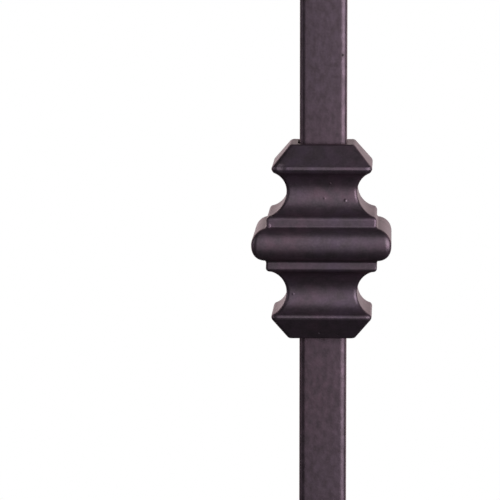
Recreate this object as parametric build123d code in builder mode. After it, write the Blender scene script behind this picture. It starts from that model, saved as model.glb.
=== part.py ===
from build123d import *
from math import radians, tan
import os

# Single knuckle stair baluster, in millimetres.
# The origin is the centre of the bar's bottom end and +Z runs up the bar.
# The faces of the bar and of the knuckle are square to X and Y.

# Square bar
overall_length = 1117.6
bar_width = 12.7
bar_edge_radius = 1.75
bottom_edge_break = 0.4

# Round dowel turned on the top end of the bar
dowel_diameter = 11.1
dowel_length = 22.2
dowel_tip_chamfer = 0.7
shoulder_angle = 45.0

# Height of the knuckle's middle above the bottom end
knuckle_centre_height = 631.8

# Square hole through the knuckle: the bar fits it on a land at mid height,
# and from there the hole opens a little towards each mouth, as its core did
land_height = 12.0
land_clearance = 0.0
mouth_clearance = 0.3

# Metal around the hole at each mouth and at the narrow necks
mouth_wall = 2.0
neck_wall = 3.2

# How far the mouldings stand out: the rim and the fillet from the neck, and
# the roll from the fillet
rim_projection = 4.0
fillet_projection = 5.3
roll_projection = 3.95

# Heights of the mouldings, one above the other from the middle outwards
roll_half_height = 4.5
fillet_height = 2.8
cove_inner_height = 6.45
cove_outer_height = 5.7
rim_height = 1.05
slope_height = 6.0

# Soft edges of the casting
rim_edge_radius = 0.95
fillet_edge_radius = 1.0
mouth_edge_radius = 0.9
inside_corner_radius = 0.6
mitre_edge_radius = 0.8

os.makedirs("parts", exist_ok=True)


# Bar: one length of square bar with rolled edges, sawn square at the bottom,
# its top end turned down to a round dowel above a conical shoulder

dowel_radius = dowel_diameter / 2
shoulder_height = overall_length - dowel_length

with BuildPart() as bar:
    with BuildSketch(Plane.XY) as bar_section:
        Rectangle(bar_width, bar_width)
        fillet(bar_section.vertices(), bar_edge_radius)
    extrude(amount=overall_length)
    chamfer(bar.faces().sort_by(Axis.Z)[0].edges(), bottom_edge_break)

    # What the lathe takes off is all that stands outside the dowel and the
    # cone under it, out past the corners of the square
    lathe_reach = bar_width
    cone_drop = (lathe_reach - dowel_radius) / tan(radians(shoulder_angle))
    with BuildSketch(Plane.XZ) as turned_waste:
        with BuildLine():
            Polyline(
                (dowel_radius - dowel_tip_chamfer, overall_length),
                (dowel_radius, overall_length - dowel_tip_chamfer),
                (dowel_radius, shoulder_height),
                (lathe_reach, shoulder_height - cone_drop),
                (lathe_reach, overall_length),
                close=True,
            )
        make_face()
    revolve(axis=Axis.Z, mode=Mode.SUBTRACT)

bar.part.label = "bar"
export_step(bar.part, "parts/bar.step")


# Outline of the knuckle, the same above and below its middle and on all four
# sides, with half widths across and heights from the middle up

half_bar = bar_width / 2
mouth_half = half_bar + mouth_clearance + mouth_wall
neck_half = half_bar + land_clearance + neck_wall
rim_half = neck_half + rim_projection
fillet_half = neck_half + fillet_projection
roll_half = fillet_half + roll_projection

fillet_top = roll_half_height + fillet_height
neck_level = fillet_top + cove_inner_height
rim_foot = neck_level + cove_outer_height
rim_top = rim_foot + rim_height
knuckle_top = rim_top + slope_height


def corners(sketch, half_width, height):
    """The outline's four corners at this half width and this height from the middle."""
    tolerance = 0.001
    return [
        corner
        for corner in sketch.vertices()
        if abs(abs(corner.X) - half_width) < tolerance
        and abs(abs(corner.Y) - height) < tolerance
    ]


with BuildSketch(Plane.XY) as outline:
    with BuildLine() as moulding:
        with BuildLine() as upper_side:
            Line((fillet_half, roll_half_height), (fillet_half, fillet_top))
            TangentArc((neck_half, neck_level), (fillet_half, fillet_top), tangent=(0, -1))
            TangentArc((neck_half, neck_level), (rim_half, rim_foot), tangent=(0, 1))
            Polyline((rim_half, rim_foot), (rim_half, rim_top), (mouth_half, knuckle_top))
        mirror(upper_side.line, about=Plane.XZ)
        ThreePointArc(
            (fillet_half, -roll_half_height), (roll_half, 0), (fillet_half, roll_half_height)
        )
        mirror(moulding.line, about=Plane.YZ)
        Line((-mouth_half, knuckle_top), (mouth_half, knuckle_top))
        Line((-mouth_half, -knuckle_top), (mouth_half, -knuckle_top))
    make_face()
    fillet(corners(outline, mouth_half, knuckle_top), mouth_edge_radius)
    fillet(corners(outline, rim_half, rim_top), rim_edge_radius)
    fillet(corners(outline, rim_half, rim_foot), rim_edge_radius)
    fillet(corners(outline, fillet_half, fillet_top), fillet_edge_radius)
    fillet(corners(outline, fillet_half, roll_half_height), inside_corner_radius)


# Mouldings: the outline seen from the front and the same outline seen from
# the side meet in mitres at the four corners

def is_mitre(edge):
    """True where the whole edge lies on a diagonal between the faces and climbs along it."""
    tolerance = 0.001
    points = [edge.position_at(share) for share in (0, 0.5, 1)]
    on_diagonal = all(abs(abs(point.X) - abs(point.Y)) < tolerance for point in points)
    return on_diagonal and abs(points[0].Z - points[2].Z) > tolerance


# A mitre's round edge can't be larger than the round edges that it runs over
mitre_radius = min(
    mitre_edge_radius, 0.9 * min(rim_edge_radius, fillet_edge_radius, mouth_edge_radius)
)

with BuildPart() as mouldings:
    with BuildSketch(Plane.XZ):
        add(outline.sketch)
    extrude(amount=roll_half, both=True)
    with BuildSketch(Plane.YZ):
        add(outline.sketch)
    extrude(amount=roll_half, both=True, mode=Mode.INTERSECT)
    fillet(mouldings.edges().filter_by(is_mitre), mitre_radius)

# Knuckle: one casting with a square hole, slid down the bar to its height

land_width = bar_width + 2 * land_clearance
land_corner = bar_edge_radius + land_clearance
mouth_width = bar_width + 2 * mouth_clearance
mouth_corner = bar_edge_radius + mouth_clearance
middle = Plane.XY.offset(knuckle_centre_height)

with BuildPart() as knuckle:
    with Locations((0, 0, knuckle_centre_height)):
        add(mouldings.part)
    with BuildSketch(middle.offset(-land_height / 2)):
        RectangleRounded(land_width, land_width, land_corner)
    extrude(amount=land_height, mode=Mode.SUBTRACT)
    for way in (-1, 1):
        with BuildSketch(middle.offset(way * land_height / 2)):
            RectangleRounded(land_width, land_width, land_corner)
        with BuildSketch(middle.offset(way * knuckle_top)):
            RectangleRounded(mouth_width, mouth_width, mouth_corner)
        loft(mode=Mode.SUBTRACT)

knuckle.part.label = "knuckle"
export_step(knuckle.part, "parts/knuckle.step")
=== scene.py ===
# %% [markdown]
# # A single knuckle stair baluster
#
# The object is an upright iron baluster: a half-inch square bar with one
# moulded casting, the knuckle, slid over it a little above its middle. This
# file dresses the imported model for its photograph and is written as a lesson.
# Each step first says what the thing is on the real object, how it could be
# made, and why this way was chosen.

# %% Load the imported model
import math

import bpy
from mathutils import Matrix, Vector


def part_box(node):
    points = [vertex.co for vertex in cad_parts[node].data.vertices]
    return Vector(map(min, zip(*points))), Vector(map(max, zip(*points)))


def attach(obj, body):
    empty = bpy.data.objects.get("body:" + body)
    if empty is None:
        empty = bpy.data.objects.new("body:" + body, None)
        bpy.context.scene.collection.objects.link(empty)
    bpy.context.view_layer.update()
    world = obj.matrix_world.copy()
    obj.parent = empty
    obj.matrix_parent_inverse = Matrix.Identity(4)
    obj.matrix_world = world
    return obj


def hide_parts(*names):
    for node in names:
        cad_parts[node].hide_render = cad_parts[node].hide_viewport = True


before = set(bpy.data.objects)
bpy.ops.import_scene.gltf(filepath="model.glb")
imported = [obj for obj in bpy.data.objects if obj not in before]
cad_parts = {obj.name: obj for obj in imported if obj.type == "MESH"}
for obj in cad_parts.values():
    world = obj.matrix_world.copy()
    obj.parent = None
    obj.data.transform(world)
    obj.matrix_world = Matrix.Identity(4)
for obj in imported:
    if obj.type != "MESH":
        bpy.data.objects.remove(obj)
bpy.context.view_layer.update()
bpy.context.scene.view_settings.view_transform = "Standard"

# %% [markdown]
# ## Units and colours
#
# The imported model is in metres, and a maker's sizes are in millimetres, so one
# constant turns one into the other. Colours are written as the sRGB hex values
# that a paint chart gives, and one function turns them into the linear values
# that the shaders work in.

# %% Units and colours
MM = 0.001


def colour(hex_value):
    """Linear red, green, blue and alpha of an sRGB hex colour such as 'a08060'."""
    channels = [int(hex_value[i:i + 2], 16) / 255 for i in (0, 2, 4)]
    linear = [c / 12.92 if c <= 0.04045 else ((c + 0.055) / 1.055) ** 2.4 for c in channels]
    return (*linear, 1.0)


print("mid grey 808080 is", round(colour("808080")[0], 3), "linear")

# %% [markdown]
# ## The camera
#
# The photograph looks at the knuckle from about a metre away, a little above
# it and almost square to its front face, through a long lens. The knuckle
# stands right of the picture's middle, so the camera turns a little to the
# left of it. The lens could be shifted instead, but a shift stays when the
# camera moves to other views, and a turn doesn't.

# %% Camera
PICTURE = 500
SENSOR = 36.0
VIEW_DISTANCE = 1.002
VIEW_ELEVATION = math.radians(6.75)
VIEW_AZIMUTH = math.radians(1.06)
KNUCKLE_PIXEL = (322.36, 237.9)
PIXELS_PER_METRE = 3676.0


def direction_to(azimuth, elevation):
    """Direction to the front, turned right by one angle in radians and up by the other."""
    level = math.cos(elevation)
    return Vector((math.sin(azimuth) * level, -math.cos(azimuth) * level, math.sin(elevation)))


knuckle_low, knuckle_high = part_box("knuckle")
knuckle_middle = (Vector(knuckle_low) + Vector(knuckle_high)) / 2

backwards = direction_to(VIEW_AZIMUTH, VIEW_ELEVATION)
rightwards = Vector((math.cos(VIEW_AZIMUTH), math.sin(VIEW_AZIMUTH), 0.0))
upwards = backwards.cross(rightwards)
right_of_middle = (KNUCKLE_PIXEL[0] - PICTURE / 2) / PIXELS_PER_METRE
above_middle = (PICTURE / 2 - KNUCKLE_PIXEL[1]) / PIXELS_PER_METRE
aim = knuckle_middle - rightwards * right_of_middle - upwards * above_middle

camera_data = bpy.data.cameras.new("camera")
camera_data.sensor_width = SENSOR
camera_data.lens = PIXELS_PER_METRE * VIEW_DISTANCE * SENSOR / PICTURE
camera = bpy.data.objects.new("camera", camera_data)
camera.location = knuckle_middle + backwards * VIEW_DISTANCE
camera.rotation_euler = (aim - camera.location).to_track_quat("-Z", "Y").to_euler()
bpy.context.collection.objects.link(camera)
bpy.context.scene.camera = camera
print("lens", round(camera_data.lens, 1), "mm")

# %% [markdown]
# ## The knuckle's outline
#
# The knuckle is a grey iron casting. Its outline is the same on all four
# sides: a slope at each end, a narrow rim, a deep cove, a flat fillet, and a
# half-round roll about its middle. The lower half differs from the upper one by
# a few tenths of a millimetre, as in a pattern that was filed by hand: its
# mouth is wider, its rim thinner, its fillet leans out at the foot, and its
# share of the roll is fuller, while the upper fillet leans in at its foot.
#
# The outline could be traced point by point, but it is made of a few arcs with
# known centres, so it is worked out from the same sizes as a pattern maker's
# drawing. Half widths are measured from the bar's axis and heights from the
# knuckle's middle. Each arc stops short of the corners beside it, because they
# are rounded afterwards and need the room.

# %% The knuckle's sizes in mm
MIDDLE = 631.8
MOUTH_HALF, RIM_HALF, NECK_HALF, FILLET_HALF, ROLL_HALF = 8.65, 13.55, 9.55, 14.85, 18.8
ROLL_TOP, FILLET_TOP, NECK, RIM_FOOT, RIM_TOP, MOUTH = 4.47, 7.25, 13.66, 19.16, 20.4, 26.33
FILLET_FOOT_HALF = 14.75
LOWER_MOUTH_HALF, LOWER_FILLET_HALF = 8.95, 14.97
LOWER_FILLET, LOWER_RIM_FOOT, LOWER_RIM_TOP = 7.33, 19.45, 20.45
LOWER_FULLNESS = 2.25
HOLE_LAND_HALF, HOLE_MOUTH_HALF, HOLE_LAND, HOLE_EDGE = 6.35, 6.65, 6.0, 1.75


def arc(centre, radius, first, last, steps):
    """Points of an arc, from one angle to another in degrees, as (half width, height)."""
    angles = [math.radians(first + (last - first) * i / steps) for i in range(steps + 1)]
    return [(centre[0] + radius * math.cos(a), centre[1] + radius * math.sin(a)) for a in angles]


def radius_through(across, along):
    """Radius of an arc that leaves square to 'across' and comes to its end after both distances."""
    return (across ** 2 + along ** 2) / (2 * across)


def fuller(half, height, power):
    """Moves a point of the roll's arc out to a squarer round; a power of 2 is the arc itself."""
    angle = math.atan2(height, half - ROLL_HALF + roll_radius)
    across = roll_radius * math.cos(angle) ** (2 / power)
    along = roll_radius * math.sin(angle) ** (2 / power)
    return (ROLL_HALF - roll_radius + across, along)


roll_radius = radius_through(ROLL_HALF - FILLET_HALF, ROLL_TOP)
inner_radius = radius_through(FILLET_HALF - NECK_HALF, NECK - FILLET_TOP)
outer_radius = radius_through(RIM_HALF - NECK_HALF, RIM_FOOT - NECK)
roll = arc((ROLL_HALF - roll_radius, 0), roll_radius, first=0, last=72, steps=12)
inner_cove = arc((NECK_HALF + inner_radius, NECK), inner_radius, first=249, last=180, steps=11)
outer_cove = arc((NECK_HALF + outer_radius, NECK), outer_radius, first=174, last=118, steps=9)

upper = roll + [(FILLET_FOOT_HALF, ROLL_TOP), (FILLET_HALF, FILLET_TOP)]
upper += inner_cove + outer_cove
upper += [(RIM_HALF, RIM_FOOT), (RIM_HALF, RIM_TOP), (MOUTH_HALF, MOUTH)]

# The lower half runs outwards from the roll as well, and is turned over after
stretch = (LOWER_RIM_FOOT - NECK) / (RIM_FOOT - NECK)
lower = [fuller(half, height, LOWER_FULLNESS) for half, height in roll[1:]]
lower += [(FILLET_HALF, ROLL_TOP), (LOWER_FILLET_HALF, LOWER_FILLET)]
lower += inner_cove + [(half, NECK + (height - NECK) * stretch) for half, height in outer_cove]
lower += [(RIM_HALF, LOWER_RIM_FOOT), (RIM_HALF, LOWER_RIM_TOP), (LOWER_MOUTH_HALF, MOUTH)]
lower = [(half, -height) for half, height in reversed(lower)]

hole = [(HOLE_MOUTH_HALF, MOUTH), (HOLE_LAND_HALF, HOLE_LAND),
        (HOLE_LAND_HALF, -HOLE_LAND), (HOLE_MOUTH_HALF, -MOUTH)]
outline = [(half, MIDDLE + height) for half, height in lower + upper + hole]
print("outline of", len(outline), "points, roll radius", round(roll_radius, 2), "mm")

# %% [markdown]
# ## Pulling the knuckle from its outline
#
# The knuckle is drawn the way a mould maker turns a profile into a solid: a
# section is pulled to the next height and made wider or narrower there, again
# and again. A small helper does one pull, so that the step reads as a list of
# heights, and the bar and its dowel are pulled with it as well. A square plane
# at the lower mouth is emptied to its four edges, and the loop is pulled
# through the outline: up the outside, across the top, and down the square hole
# to where it began. The last loop then meets the first, and merging them
# closes the shell. A spin would give round mouldings, while this gives square
# ones that meet in mitres, as they do on the casting.

# %% Knuckle shell


def pull(start, end):
    """Extrudes the selected loop from one (half width, height) in mm to the next."""
    rise = (end[1] - start[1]) * MM
    bpy.ops.mesh.extrude_region_move(TRANSFORM_OT_translate={"value": (0, 0, rise)})
    share = end[0] / start[0]
    if share != 1:
        bpy.ops.transform.resize(value=(share, share, 1), center_override=(0, 0, end[1] * MM))


bpy.ops.object.select_all(action="DESELECT")
bpy.ops.mesh.primitive_plane_add(size=2 * outline[0][0] * MM, location=(0, 0, outline[0][1] * MM))
knuckle = bpy.context.object
knuckle.name = "cast_knuckle"
bpy.ops.object.transform_apply(location=True, rotation=True, scale=True)
bpy.ops.object.mode_set(mode="EDIT")
bpy.ops.mesh.select_mode(type="EDGE")
bpy.ops.mesh.select_all(action="SELECT")
bpy.ops.mesh.delete(type="ONLY_FACE")
bpy.ops.mesh.select_all(action="SELECT")
for start, end in zip(outline, outline[1:] + outline[:1]):
    pull(start, end)
bpy.ops.mesh.select_all(action="SELECT")
bpy.ops.mesh.remove_doubles(threshold=0.001 * MM)
bpy.ops.mesh.normals_make_consistent(inside=False)
print("knuckle shell", len(outline) * 4, "corners")

# %% [markdown]
# ## Soft edges on the casting
#
# Molten iron and a coat of powder leave no sharp edge. Each run of the
# mouldings is rounded with a bevel at the radius that the photograph shows:
# about a millimetre on the rims and fillets, less in the corner beside the
# roll. A bevel pulls back along each face by its width, and for a corner that
# turns by some angle that width is the radius times the tangent of half of it.

# %% Round the mouldings
SAME_PLACE = 0.01
EDGE_STEPS = 5
# Half width, height and radius in mm, and the angle by which the corner turns
soft_edges = [
    (MOUTH_HALF, MOUTH, 0.9, 50.8),
    (LOWER_MOUTH_HALF, MOUTH, 0.9, 52.3),
    (RIM_HALF, RIM_TOP, 1.1, 39.6),
    (RIM_HALF, LOWER_RIM_TOP, 1.1, 38.0),
    (RIM_HALF, RIM_FOOT, 1.1, 71.3),
    (FILLET_HALF, FILLET_TOP, 1.0, 78.8),
    (LOWER_FILLET_HALF, LOWER_FILLET, 1.0, 80.8),
    (RIM_HALF, LOWER_RIM_FOOT, 0.8, 71.3),
    (FILLET_HALF, ROLL_TOP, 0.6, 82.6),
    (FILLET_FOOT_HALF, ROLL_TOP, 0.6, 84.6),
]


def select_edges(piece, wanted):
    """Selects the edges for which wanted(end, end) is true, with the ends in mm, from edit mode."""
    bpy.ops.mesh.select_all(action="DESELECT")
    bpy.ops.object.mode_set(mode="OBJECT")
    places = [vertex.co / MM for vertex in piece.data.vertices]
    count = 0
    for edge in piece.data.edges:
        edge.select = wanted(places[edge.vertices[0]], places[edge.vertices[1]])
        count += edge.select
    bpy.ops.object.mode_set(mode="EDIT")
    return count


def at_height(point, half, height):
    """True where a point of the shell lies at this half width and height, in either half."""
    level = abs(point.z - MIDDLE)
    width = max(abs(point.x), abs(point.y))
    return abs(width - half) < SAME_PLACE and abs(level - height) < SAME_PLACE


for half, height, radius, turn in soft_edges:
    width = radius * math.tan(math.radians(turn / 2))
    chosen = select_edges(
        knuckle, lambda a, b: at_height(a, half, height) and at_height(b, half, height))
    bpy.ops.mesh.bevel(offset=width * MM, segments=EDGE_STEPS, affect="EDGES", clamp_overlap=True)
    print("height", height, "edges", chosen, "width", round(width, 2), "mm")

# %% [markdown]
# ## Mitres
#
# Where two sides meet, the mouldings run into each other in a mitre. On the
# photograph these corners are rounder than the runs, most of all at the rims
# and on the roll's crest, which stand out and are ground and handled most. A
# bevel's weight can differ from edge to edge, so one bevel rounds them all,
# each edge with its own share of the widest. Where the two sides lean, they
# meet at a blunter corner, and the same radius takes a narrower bevel. The two
# corners at the back weren't dressed alike: the left one is rounder than the
# front ones and the right one is sharper. The corners of the hole follow the
# bar's own round edges.

# %% Round the mitres
WIDEST = 3.5
MITRE_STEPS = 6
CREST_MITRE, ROLL_FOOT_MITRE, FILLET_MITRE, COVE_MITRE, RIM_MITRE = 2.1, 0.8, 0.8, 1.1, 2.3
RIM_MIDDLE, RIM_FADE = 19.66, 2.5
# Corners nearer to the bar's axis than this are the hole's
HOLE_WALL = HOLE_MOUTH_HALF + 0.1
# Share of the radius at each corner, by whether it is at the right and at the back
DRESSED = {(False, False): 1.0, (True, False): 1.0, (False, True): 1.4, (True, True): 0.5}
bpy.ops.object.mode_set(mode="OBJECT")
weights = knuckle.data.attributes.new("bevel_weight_edge", "FLOAT", "EDGE")


def mitre_radius(half, height):
    """Radius in mm of the mitre at this half width and height from the middle."""
    if half < HOLE_WALL:
        return HOLE_EDGE + half - HOLE_LAND_HALF
    if abs(height) < ROLL_TOP:
        return CREST_MITRE + (ROLL_FOOT_MITRE - CREST_MITRE) * (height / ROLL_TOP) ** 2
    if abs(height) < FILLET_TOP:
        return FILLET_MITRE
    near_rim = max(0.0, 1 - abs(abs(height) - RIM_MIDDLE) / RIM_FADE)
    return COVE_MITRE + (RIM_MITRE - COVE_MITRE) * near_rim


def on_corner(a, b):
    """True where an edge runs along one of the shell's four corners."""
    on_diagonals = all(abs(abs(p.x) - abs(p.y)) < 0.1 * SAME_PLACE for p in (a, b))
    return on_diagonals and a.x * b.x > 0 and a.y * b.y > 0


def only(piece):
    """Leaves this object alone selected and active."""
    bpy.ops.object.select_all(action="DESELECT")
    piece.select_set(True)
    bpy.context.view_layer.objects.active = piece


mitres = 0
for edge in knuckle.data.edges:
    a, b = (knuckle.data.vertices[i].co / MM for i in edge.vertices)
    if on_corner(a, b):
        middle = (a + b) / 2
        half = abs(middle.x)
        lean = abs(a.x - b.x) / math.hypot(a.x - b.x, a.z - b.z)
        width = mitre_radius(half, middle.z - MIDDLE) * math.sqrt((1 - lean ** 2) / (1 + lean ** 2))
        if half > HOLE_WALL:
            width *= DRESSED[middle.x > 0, middle.y > 0]
        weights.data[edge.index].value = width / WIDEST
        mitres += 1
only(knuckle)
rounding = knuckle.modifiers.new("mitres", "BEVEL")
rounding.limit_method = "WEIGHT"
rounding.width = WIDEST * MM
rounding.segments = MITRE_STEPS
bpy.ops.object.modifier_apply(modifier=rounding.name)
print("mitre edges", mitres, "faces now", len(knuckle.data.polygons))

# %% [markdown]
# ## The casting's slight unevenness
#
# A sand casting is never quite flat: its faces wander by a few hundredths of a
# millimetre, which makes the light along a moulding waver. It could be
# sculpted by hand, but a Displace modifier gives the same surface each time.
# The long faces are first divided into columns, then a cloud pattern some
# millimetres wide moves the surface, mostly inwards, so that the knuckle
# doesn't outgrow its size. The hole is left out, so that it still fits the
# bar. The corners are then shaded smooth, and a Weighted Normal modifier keeps
# the large faces flat beside them.

# %% Unevenness
COLUMNS, LONG = 24, 5.0
SAND_PATCH, UNEVENNESS, MOSTLY_INWARDS = 7.0, 0.07, 0.75
# What lies farther out than this is the outside and not the hole
INNERMOST_OUTSIDE = MOUTH_HALF - 0.9

bpy.ops.object.mode_set(mode="EDIT")
long_edges = select_edges(
    knuckle, lambda a, b: abs(a.z - b.z) < 0.1 * SAME_PLACE and (a - b).length > LONG)
bpy.ops.mesh.subdivide(number_cuts=COLUMNS - 1)
bpy.ops.object.mode_set(mode="OBJECT")
outside = knuckle.vertex_groups.new(name="outside")
outside.add([v.index for v in knuckle.data.vertices
             if max(abs(v.co.x), abs(v.co.y)) / MM > INNERMOST_OUTSIDE], 1.0, "REPLACE")
sand = bpy.data.textures.new("sand mould", "CLOUDS")
sand.noise_scale = SAND_PATCH * MM
sand.noise_depth = 1
uneven = knuckle.modifiers.new("unevenness", "DISPLACE")
uneven.texture = sand
uneven.texture_coords = "LOCAL"
uneven.vertex_group = outside.name
uneven.mid_level = MOSTLY_INWARDS
uneven.strength = UNEVENNESS * MM
only(knuckle)
bpy.ops.object.modifier_apply(modifier=uneven.name)
bpy.ops.object.shade_smooth_by_angle(angle=math.radians(50))
flat_faces = knuckle.modifiers.new("flat faces", "WEIGHTED_NORMAL")
flat_faces.keep_sharp = True
bpy.ops.object.modifier_apply(modifier=flat_faces.name)
print("long edges", long_edges, "faces", len(knuckle.data.polygons))

# %% [markdown]
# ## The bar
#
# The bar is cold-drawn square steel, half an inch across, with edges that the
# die leaves rounded and the saw's burr broken off around its bottom. Bar stock
# is never dead straight: between its ends this one bows sideways by a quarter
# of a millimetre, so it sits a little to the right in the knuckle's hole and
# leaves the dark gap at its left that the photograph shows. A tall box with
# bevelled edges would be straight, so a square plane with rounded corners is
# pulled up to the full length in short steps that follow the bow.

# %% Bar's sizes in mm
BAR_HALF, BAR_EDGE, BOTTOM_BREAK, BOW, LENGTH = 6.35, 1.75, 0.4, 0.26, 1117.6
DOWEL_HALF, DOWEL_LENGTH, TIP_CHAMFER = 5.55, 22.2, 0.7
PULLS = 16


def bowed(share):
    """How far the bar has bowed to the right, in mm, at this share of its length."""
    return BOW * math.sin(math.pi * share)


print("the bar bows by", bowed(0.5), "mm at mid length")

# %% Pull the bar
bpy.ops.object.select_all(action="DESELECT")
bpy.ops.mesh.primitive_plane_add(size=2 * BAR_HALF * MM, location=(0, 0, 0))
bar = bpy.context.object
bar.name = "drawn_bar"
bpy.ops.object.mode_set(mode="EDIT")
bpy.ops.mesh.select_mode(type="VERT")
bpy.ops.mesh.select_all(action="SELECT")
bpy.ops.mesh.bevel(offset=BAR_EDGE * MM, segments=10, affect="VERTICES")
bpy.ops.mesh.select_mode(type="FACE")
bpy.ops.mesh.select_all(action="SELECT")
for step in range(PULLS):
    start, end = step / PULLS, (step + 1) / PULLS
    pull((BAR_HALF, LENGTH * start), (BAR_HALF, LENGTH * end))
    bpy.ops.transform.translate(value=((bowed(end) - bowed(start)) * MM, 0, 0))
bpy.ops.mesh.select_mode(type="EDGE")
foot = select_edges(bar, lambda a, b: max(abs(a.z), abs(b.z)) < SAME_PLACE)
bpy.ops.mesh.bevel(offset=BOTTOM_BREAK * MM, segments=2, affect="EDGES")
bpy.ops.mesh.select_all(action="SELECT")
bpy.ops.mesh.normals_make_consistent(inside=False)
bpy.ops.object.mode_set(mode="OBJECT")
print("bar", [round(v / MM, 1) for v in bar.dimensions], "mm, foot edges", foot)

# %% [markdown]
# ## Turning the dowel
#
# The top end goes into a drilled rail, so it is turned down to a round dowel,
# and the lathe's tool leaves a cone where it runs out into the square. The
# scallops where the cone cuts the flat faces would be hard to draw by hand. A
# round envelope of all that the lathe leaves is made instead, and a Boolean
# keeps only what the bar and the envelope share.

# %% Dowel
ENVELOPE_HALF, BELOW_FOOT, ROUND_STEPS = 12.0, 5.0, 96
shoulder = LENGTH - DOWEL_LENGTH
cone_foot = shoulder - (ENVELOPE_HALF - DOWEL_HALF)
envelope_line = [
    (ENVELOPE_HALF, -BELOW_FOOT), (ENVELOPE_HALF, cone_foot), (DOWEL_HALF, shoulder),
    (DOWEL_HALF, LENGTH - TIP_CHAMFER), (DOWEL_HALF - TIP_CHAMFER, LENGTH),
]
bpy.ops.object.select_all(action="DESELECT")
bpy.ops.mesh.primitive_circle_add(
    vertices=ROUND_STEPS, radius=ENVELOPE_HALF * MM, fill_type="NGON",
    location=(0, 0, -BELOW_FOOT * MM))
envelope = bpy.context.object
bpy.ops.object.transform_apply(location=True, rotation=False, scale=False)
bpy.ops.object.mode_set(mode="EDIT")
bpy.ops.mesh.select_mode(type="FACE")
bpy.ops.mesh.select_all(action="SELECT")
for start, end in zip(envelope_line, envelope_line[1:]):
    pull(start, end)
bpy.ops.mesh.select_all(action="SELECT")
bpy.ops.mesh.normals_make_consistent(inside=False)
bpy.ops.object.mode_set(mode="OBJECT")

only(bar)
turning = bar.modifiers.new("turning", "BOOLEAN")
turning.operation = "INTERSECT"
turning.object = envelope
bpy.ops.object.modifier_apply(modifier=turning.name)
bpy.data.objects.remove(envelope)
bpy.ops.object.shade_smooth_by_angle(angle=math.radians(30))
print("bar faces", len(bar.data.polygons), "height", round(bar.dimensions.z / MM, 2), "mm")

# %% [markdown]
# ## Small helpers for materials
#
# Every material is a few nodes. One helper adds a node of any kind with its
# settings and links, so each material reads as a list of what feeds what.
# Another turns the size of a pattern's patches in millimetres into the scale
# that a noise is given.

# %% Helpers for materials


def node(tree, kind, inputs=None, **settings):
    """Adds a node. inputs maps socket names or numbers to values or to other nodes' outputs."""
    made = tree.nodes.new(kind)
    for name, value in settings.items():
        setattr(made, name, value)
    for name, value in (inputs or {}).items():
        if isinstance(value, bpy.types.NodeSocket):
            tree.links.new(value, made.inputs[name])
        else:
            made.inputs[name].default_value = value
    return made


def new_material(name):
    """An empty material: its datablock, its tree and its output node."""
    material = bpy.data.materials.new(name)
    material.use_nodes = True
    material.node_tree.nodes.clear()
    return material, material.node_tree, material.node_tree.nodes.new("ShaderNodeOutputMaterial")


def noise_scale(patch):
    """Scale of a noise whose light and dark patches are this many mm across."""
    # A light and a dark patch side by side fill about one unit of the noise
    return 0.5 / (patch * MM)


print("patches of 1 mm take a noise scale of", round(noise_scale(1)))

# %% [markdown]
# ## The coat on the casting
#
# The whole baluster is powder coated: polyester powder with bronze and
# aluminium flake is sprayed on dry and baked until it flows into one satin
# film. The flakes make the film part metal, so what it mirrors takes on its
# own brownish purple. The film could be one flat colour, but then it looks
# like plastic. A real one dries with an orange peel about a millimetre across,
# its shade wanders where the flakes lie thicker, and it follows the casting's
# own faults: small pits that gas leaves, a few nibs of sand or powder that
# stand out on the necks and at the left end of the upper fillet, and a dent at
# the left end of the upper rim. A flake is a twentieth of a millimetre, too
# fine to show, so its sparkle is drawn six times as coarse.

# %% Values of the casting's coat, with lengths in mm
DRIFT_PATCH, FLAKE_PATCH, PEEL, SPARKLE, PIT_SPACING = 6.0, 1.6, 0.9, 0.3, 5.0
PEEL_RELIEF, FAULT_RELIEF = 0.05, 0.2
METAL_SHARE, MIRROR_TINT = 0.86, "ecd6d6"
# A pit is full depth out to one share of the spacing and gone at the other, in
# the cells whose random grey is above PIT_ABOVE
PIT_FLOOR, PIT_EDGE, PIT_ABOVE = 0.03, 0.08, 0.7
# A fault is full height out to one share of its radius and gone at the other
FAULT_CORE, FAULT_EDGE = 0.4, 1.3
# Each fault's centre, its radius, and its rise as a share of FAULT_RELIEF
FAULTS = [
    ((6.35, -9.85, 643.15), 0.4, 0.75), ((0.75, -9.7, 643.65), 0.35, 0.3),
    ((2.3, -10.0, 647.7), 0.25, 0.4), ((-7.7, -9.6, 617.7), 0.3, 0.35),
    ((-10.7, -13.2, 652.2), 1.0, -0.9), ((-14.1, -14.8, 636.8), 0.5, 0.7),
]
print(len(FAULTS), "faults placed by hand")

# %% Shade of the casting's coat
coated_casting, tree, output = new_material("satin bronze powder coat over cast iron")
place = node(tree, "ShaderNodeTexCoord").outputs["Object"]
drift = node(tree, "ShaderNodeTexNoise", {
    "Vector": place, "Scale": noise_scale(DRIFT_PATCH), "Detail": 1.0})
flake = node(tree, "ShaderNodeTexNoise", {
    "Vector": place, "Scale": noise_scale(FLAKE_PATCH), "Detail": 2.0})
spark = node(tree, "ShaderNodeTexNoise", {
    "Vector": place, "Scale": noise_scale(SPARKLE), "Detail": 0.0})
drift_share = node(tree, "ShaderNodeMapRange", {
    "Value": drift.outputs["Fac"], "From Min": 0.35, "From Max": 0.65})
flake_share = node(tree, "ShaderNodeMapRange", {
    "Value": flake.outputs["Fac"], "From Min": 0.35, "From Max": 0.65})
tone = node(tree, "ShaderNodeMix", {
    "Factor": drift_share.outputs["Result"], 6: colour("5c4f5d"), 7: colour("62505b")}, data_type="RGBA")
tone = node(tree, "ShaderNodeMix", {
    "Factor": flake_share.outputs["Result"], 6: tone.outputs[2], 7: colour("544a52")}, data_type="RGBA")
bright = node(tree, "ShaderNodeMapRange", {
    "Value": spark.outputs["Fac"], "From Min": 0.4, "From Max": 0.75, "To Max": 0.11})
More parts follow.
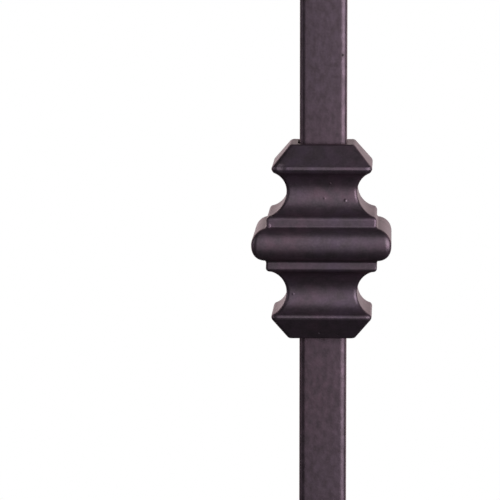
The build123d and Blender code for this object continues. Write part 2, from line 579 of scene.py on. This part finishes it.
tone = node(tree, "ShaderNodeMix", {
    "Factor": bright.outputs["Result"], 6: tone.outputs[2], 7: colour("82727e")}, data_type="RGBA")
print("shade of the casting's coat,", len(tree.nodes), "nodes")

# %% Pits, nibs and dent
gas = node(tree, "ShaderNodeTexVoronoi", {"Vector": place, "Scale": 1 / (PIT_SPACING * MM)})
hollow = node(tree, "ShaderNodeMapRange", {
    "Value": gas.outputs["Distance"], "From Min": PIT_FLOOR, "From Max": PIT_EDGE,
    "To Min": 1.0, "To Max": 0.0})
chosen = node(tree, "ShaderNodeMath", {
    0: gas.outputs["Color"], 1: PIT_ABOVE}, operation="GREATER_THAN")
pit = node(tree, "ShaderNodeMath", {
    0: hollow.outputs["Result"], 1: chosen.outputs["Value"]}, operation="MULTIPLY")
relief = node(tree, "ShaderNodeMath", {0: pit.outputs["Value"], 1: -1.0}, operation="MULTIPLY")
for centre, radius, rise in FAULTS:
    away = node(tree, "ShaderNodeVectorMath", {
        0: place, 1: [c * MM for c in centre]}, operation="DISTANCE")
    fault = node(tree, "ShaderNodeMapRange", {
        "Value": away.outputs["Value"], "From Min": FAULT_CORE * radius * MM,
        "From Max": FAULT_EDGE * radius * MM, "To Min": rise, "To Max": 0.0})
    relief = node(tree, "ShaderNodeMath", {
        0: relief.outputs["Value"], 1: fault.outputs["Result"]}, operation="ADD")
print("relief of the faults,", len(tree.nodes), "nodes")

# %% Peel and gloss of the casting's coat
peel = node(tree, "ShaderNodeTexNoise", {
    "Vector": place, "Scale": noise_scale(PEEL), "Detail": 2.0})
peeled = node(tree, "ShaderNodeBump", {
    "Height": peel.outputs["Fac"], "Distance": PEEL_RELIEF * MM})
pitted = node(tree, "ShaderNodeBump", {
    "Height": relief.outputs["Value"], "Distance": FAULT_RELIEF * MM,
    "Normal": peeled.outputs["Normal"]})
gloss = node(tree, "ShaderNodeMapRange", {
    "Value": peel.outputs["Fac"], "From Min": 0.3, "From Max": 0.7,
    "To Min": 0.39, "To Max": 0.45})
shader = node(tree, "ShaderNodeBsdfPrincipled", {
    "Base Color": tone.outputs[2], "Metallic": METAL_SHARE, "Roughness": gloss.outputs["Result"],
    "Specular Tint": colour(MIRROR_TINT), "Normal": pitted.outputs["Normal"]})
tree.links.new(shader.outputs["BSDF"], output.inputs["Surface"])
print(coated_casting.name, len(tree.nodes), "nodes")

# %% [markdown]
# ## The coat on the bar
#
# The same powder lies on the bar, but drawn steel is handled in bundles, so
# under the film it has soft scuffs, a little longer along the bar than across
# it. The peel is a little coarser than on the casting, the shade changes slowly
# along the length, and one pinhole shows near the right edge above the knuckle.
# The hole itself is not modelled: its dark spot is painted shade, a near-black
# colour that stands in for the shade inside it.
# Towards the bottom end the coat turns a darker olive. The dowel hung
# from a hook while it was sprayed, so its upper half is almost bare, dull steel.

# %% Values of the bar's coat, with lengths in mm
BAR_DRIFT_PATCH, SCUFF, BAR_PEEL, BAR_PEEL_RELIEF = 12.0, 0.8, 1.1, 0.07
ALONG_THE_BAR = 0.6
PINHOLE, PINHOLE_RADIUS = (5.5, -6.25, 682.05), 0.28
PINHOLE_CORE, PINHOLE_EDGE = 0.5, 1.5
FOOT_DARKEST, FOOT_DARK_ENDS = 2.0, 14.0
RAGGED, BARE_FROM, BARE_TO = 12.0, LENGTH - 9.0, LENGTH - 2.0
print("patterns are", round(1 / ALONG_THE_BAR, 2), "times as long along the bar")

# %% Shade of the bar's coat
coated_bar, tree, output = new_material("satin bronze powder coat over drawn steel")
place = node(tree, "ShaderNodeTexCoord").outputs["Object"]
along = node(tree, "ShaderNodeMapping", {
    "Vector": place, "Scale": (1, 1, ALONG_THE_BAR)}).outputs["Vector"]
drift = node(tree, "ShaderNodeTexNoise", {
    "Vector": along, "Scale": noise_scale(BAR_DRIFT_PATCH), "Detail": 1.0})
scuff = node(tree, "ShaderNodeTexNoise", {
    "Vector": along, "Scale": noise_scale(SCUFF), "Detail": 1.0})
spark = node(tree, "ShaderNodeTexNoise", {
    "Vector": place, "Scale": noise_scale(SPARKLE), "Detail": 0.0})
drift_share = node(tree, "ShaderNodeMapRange", {
    "Value": drift.outputs["Fac"], "From Min": 0.35, "From Max": 0.65})
scuff_share = node(tree, "ShaderNodeMapRange", {
    "Value": scuff.outputs["Fac"], "From Min": 0.3, "From Max": 0.7})
tone = node(tree, "ShaderNodeMix", {
    "Factor": drift_share.outputs["Result"], 6: colour("5d4f5b"), 7: colour("63505b")}, data_type="RGBA")
tone = node(tree, "ShaderNodeMix", {
    "Factor": scuff_share.outputs["Result"], 6: tone.outputs[2], 7: colour("4f434b")}, data_type="RGBA")
bright = node(tree, "ShaderNodeMapRange", {
    "Value": spark.outputs["Fac"], "From Min": 0.4, "From Max": 0.75, "To Max": 0.08})
tone = node(tree, "ShaderNodeMix", {
    "Factor": bright.outputs["Result"], 6: tone.outputs[2], 7: colour("82727e")}, data_type="RGBA")
print("shade of the bar's coat,", len(tree.nodes), "nodes")

# %% Pinhole's painted shade, darker foot and bare dowel
# The pinhole's near-black spot is painted shade for the inside of the hole
from_hole = node(tree, "ShaderNodeVectorMath", {
    0: place, 1: [c * MM for c in PINHOLE]}, operation="DISTANCE")
pinhole_shade = node(tree, "ShaderNodeMapRange", {
    "Value": from_hole.outputs["Value"], "From Min": PINHOLE_CORE * PINHOLE_RADIUS * MM,
    "From Max": PINHOLE_EDGE * PINHOLE_RADIUS * MM, "To Min": 1.0, "To Max": 0.0})
tone = node(tree, "ShaderNodeMix", {
    "Factor": pinhole_shade.outputs["Result"], 6: tone.outputs[2], 7: colour("1c181b")}, data_type="RGBA")
up_the_bar = node(tree, "ShaderNodeSeparateXYZ", {"Vector": place}).outputs["Z"]
# Darker, olive colour towards the bottom end of the bar
darker_foot = node(tree, "ShaderNodeMapRange", {
    "Value": up_the_bar, "From Min": FOOT_DARKEST * MM, "From Max": FOOT_DARK_ENDS * MM,
    "To Min": 1.0, "To Max": 0.0})
tone = node(tree, "ShaderNodeMix", {
    "Factor": darker_foot.outputs["Result"], 6: tone.outputs[2], 7: colour("383733")}, data_type="RGBA")
ragged = node(tree, "ShaderNodeMath", {
    0: scuff.outputs["Fac"], 1: RAGGED * MM, 2: up_the_bar}, operation="MULTIPLY_ADD")
bare = node(tree, "ShaderNodeMapRange", {
    "Value": ragged.outputs["Value"], "From Min": BARE_FROM * MM, "From Max": BARE_TO * MM})
tone = node(tree, "ShaderNodeMix", {
    "Factor": bare.outputs["Result"], 6: tone.outputs[2], 7: colour("8a8478")}, data_type="RGBA")
print("the coat thins out about", round(BARE_FROM - RAGGED / 2), "mm up the bar")

# %% Peel and gloss of the bar's coat
peel = node(tree, "ShaderNodeTexNoise", {
    "Vector": place, "Scale": noise_scale(BAR_PEEL), "Detail": 2.0})
peeled = node(tree, "ShaderNodeBump", {
    "Height": peel.outputs["Fac"], "Distance": BAR_PEEL_RELIEF * MM})
gloss = node(tree, "ShaderNodeMapRange", {
    "Value": peel.outputs["Fac"], "From Min": 0.3, "From Max": 0.7,
    "To Min": 0.37, "To Max": 0.47})
shader = node(tree, "ShaderNodeBsdfPrincipled", {
    "Base Color": tone.outputs[2], "Metallic": METAL_SHARE, "Roughness": gloss.outputs["Result"],
    "Specular Tint": colour(MIRROR_TINT), "Normal": peeled.outputs["Normal"]})
tree.links.new(shader.outputs["BSDF"], output.inputs["Surface"])
print(coated_bar.name, len(tree.nodes), "nodes")

# %% [markdown]
# ## Which piece is which
#
# Each piece gets its coat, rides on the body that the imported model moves, and
# takes the place of the plain node that it was drawn over.

# %% Dress the model
for piece, stands_for, slot, coat in (
    (knuckle, "knuckle", "coated_casting", coated_casting),
    (bar, "bar", "coated_bar", coated_bar),
):
    piece.data.materials.clear()
    piece.data.materials.append(coat)
    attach(piece, "root")
    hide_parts(stands_for)
    print(piece.name, "wears", coat.name)

# %% [markdown]
# ## The studio
#
# The photograph has a plain white background. A camera ray that misses the
# object sees white of strength 1. A satin metal shows its surroundings too, so
# glossy and transmission rays see the same white, but only where the backdrop
# stands, behind the object: in the photograph the parts that lean down or up
# are almost black, because the room there is dark. Other rays get a weak, even
# fill.

# %% World
# Backward part of a ray's direction where the backdrop's white begins and is full
SIDE_DARK, SIDE_WHITE = 0.6, 0.85
# Upward or downward part of it where the white is still full and where it ends
END_WHITE, END_DARK = 0.35, 0.55
DARK_ROOM, EVEN_FILL = 0.03, 0.08

world = bpy.data.worlds.new("studio")
bpy.context.scene.world = world
world.use_nodes = True
tree = world.node_tree
tree.nodes.clear()
path = node(tree, "ShaderNodeLightPath")
ray = node(tree, "ShaderNodeTexCoord").outputs["Generated"]
towards = node(tree, "ShaderNodeSeparateXYZ", {"Vector": ray})
wide = node(tree, "ShaderNodeMapRange", {
    "Value": towards.outputs["Y"], "From Min": SIDE_DARK, "From Max": SIDE_WHITE})
tilt = node(tree, "ShaderNodeMath", {0: towards.outputs["Z"]}, operation="ABSOLUTE")
tall = node(tree, "ShaderNodeMapRange", {
    "Value": tilt.outputs["Value"], "From Min": END_WHITE, "From Max": END_DARK,
    "To Min": 1.0, "To Max": 0.0})
backdrop = node(tree, "ShaderNodeMath", {
    0: wide.outputs["Result"], 1: tall.outputs["Result"]}, operation="MULTIPLY")
around = node(tree, "ShaderNodeMath", {
    0: backdrop.outputs["Value"], 1: DARK_ROOM}, operation="MAXIMUM")
mirrored = node(tree, "ShaderNodeMath", {
    0: path.outputs["Is Glossy Ray"], 1: path.outputs["Is Transmission Ray"]}, operation="MAXIMUM")
lit = node(tree, "ShaderNodeMix", {
    "Factor": mirrored.outputs["Value"], "A": EVEN_FILL, "B": around.outputs["Value"]})
seen = node(tree, "ShaderNodeMix", {
    "Factor": path.outputs["Is Camera Ray"], "A": lit.outputs["Result"], "B": 1.0})
sky = node(tree, "ShaderNodeBackground", {
    "Color": colour("ffffff"), "Strength": seen.outputs["Result"]})
node(tree, "ShaderNodeOutputWorld", {"Surface": sky.outputs["Background"]})
print("world", len(tree.nodes), "nodes")

# %% [markdown]
# ## Floor
#
# The baluster stands on a round of pale matt card. The card is lit by the same
# lamps as the object, so it keeps the object's shadow. It could end at a hard
# rim, but that would draw a line across the white. So it is partly see-through
# even at its middle, and towards its rim it fades into the white around it. In
# the photograph the undersides of the mouldings are almost black, so nothing
# pale lies below them there, and the card is kept out of what the baluster
# mirrors and out of its soft light.

# %% Floor
FLOOR_RADIUS = 0.8
# Shares of the radius where the fade starts and ends, and how clear the card is
# before it starts
FADE_START, FADE_END, CLEAR_INSIDE = 0.1, 0.98, 0.4

bpy.ops.object.select_all(action="DESELECT")
bpy.ops.mesh.primitive_circle_add(
    vertices=ROUND_STEPS, radius=FLOOR_RADIUS, fill_type="NGON", location=(0, 0, 0))
floor = bpy.context.object
floor.name = "floor"
card, tree, output = new_material("pale matt card")
place = node(tree, "ShaderNodeTexCoord").outputs["Object"]
from_middle = node(tree, "ShaderNodeVectorMath", {0: place}, operation="LENGTH")
fade = node(tree, "ShaderNodeMapRange", {
    "Value": from_middle.outputs["Value"], "From Min": FADE_START * FLOOR_RADIUS,
    "From Max": FADE_END * FLOOR_RADIUS, "To Min": CLEAR_INSIDE, "To Max": 1.0},
    interpolation_type="SMOOTHSTEP")
matt = node(tree, "ShaderNodeBsdfDiffuse", {"Color": colour("eceae6")})
clear = node(tree, "ShaderNodeBsdfTransparent")
faded = node(tree, "ShaderNodeMixShader", {
    0: fade.outputs["Result"], 1: matt.outputs["BSDF"], 2: clear.outputs["BSDF"]})
tree.links.new(faded.outputs["Shader"], output.inputs["Surface"])
floor.data.materials.append(card)
floor.visible_glossy = False
floor.visible_diffuse = False
print("floor", FLOOR_RADIUS, "m in radius")

# %% [markdown]
# ## Lamps
#
# The light is a studio's. A large softbox in front is brighter above than
# below, so it is two lamps, and a brighter one to the right gives the bright
# line along each right-hand edge. At the left a narrow strip and a weak fill
# keep that side from going black. Two softboxes behind light the sides that are
# seen at a grazing angle, and the back. Each lamp is placed by the angle at
# which the knuckle sees it, and its power is worked out from its size, so that
# a larger lamp is softer and not brighter.

# %% Lamps


def softbox(name, azimuth, elevation, distance, size, radiance):
    """A lamp that faces the knuckle, by angles in degrees, distance and size in m, and brightness."""
    direction = direction_to(math.radians(azimuth), math.radians(elevation))
    data = bpy.data.lights.new(name, "AREA")
    data.shape = "RECTANGLE"
    data.size, data.size_y = size
    data.energy = radiance * math.pi * size[0] * size[1]
    lamp = bpy.data.objects.new(name, data)
    lamp.location = knuckle_middle + direction * distance
    lamp.rotation_euler = (-direction).to_track_quat("-Z", "Y").to_euler()
    lamp.visible_camera = False
    bpy.context.collection.objects.link(lamp)
    print(name, round(data.energy, 1), "W")


softbox("front softbox", 12, 29.5, 1.3, (1.38, 1.38), 0.95)
softbox("low front softbox", 12, -10.5, 1.3, (1.38, 0.68), 0.64)
softbox("right softbox", 58, 14, 1.4, (1.6, 1.5), 3.85)
softbox("left strip", -78, 15, 1.6, (0.45, 1.4), 1.3)
softbox("left fill", -98, 10, 1.5, (0.8, 1.5), 0.35)
softbox("rear left softbox", -153, 8, 1.5, (0.8, 1.5), 0.7)
softbox("rear right softbox", 150, 8, 1.5, (0.8, 1.5), 0.45)
